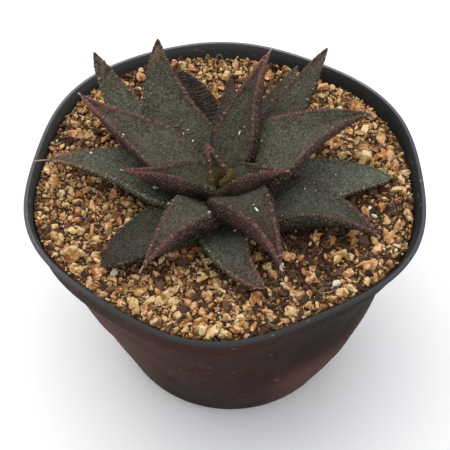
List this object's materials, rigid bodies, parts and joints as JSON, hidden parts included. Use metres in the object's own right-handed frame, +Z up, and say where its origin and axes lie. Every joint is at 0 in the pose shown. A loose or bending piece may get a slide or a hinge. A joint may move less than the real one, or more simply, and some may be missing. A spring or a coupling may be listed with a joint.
{
  "type": "potted haworthia",
  "caption": "Small rosette succulent with thick rough dark leaves, growing in coarse grit in a thin dark plastic nursery pot.",
  "frame": {"origin": "centre of the rim's box, on the plane the pot stands on", "axes": "+Z up, the pictured front faces -Y, +X to the right seen from the front"},
  "size_m": [0.0984, 0.1013, 0.0875],
  "materials": {
    "pot_plastic": "soft satin moulded plastic, dusty",
    "potting_mix": "rough mineral grit",
    "stem": "rough fleshy stem",
    "leaf": "rough dull leaf with raised tubercles"
  },
  "bodies": {
    "root": {"pot": "pot_plastic", "potting_mix": "potting_mix", "stem": "stem", "leaf_01": "leaf", "leaf_02": "leaf", "leaf_03": "leaf", "leaf_04": "leaf", "leaf_05": "leaf", "leaf_06": "leaf", "leaf_07": "leaf", "leaf_08": "leaf", "leaf_09": "leaf", "leaf_10": "leaf", "leaf_11": "leaf", "leaf_12": "leaf", "leaf_13": "leaf", "leaf_14": "leaf", "leaf_15": "leaf", "leaf_16": "leaf", "leaf_17": "leaf", "leaf_18": "leaf", "leaf_19": "leaf", "leaf_20": "leaf"}
  },
  "joints": []
}
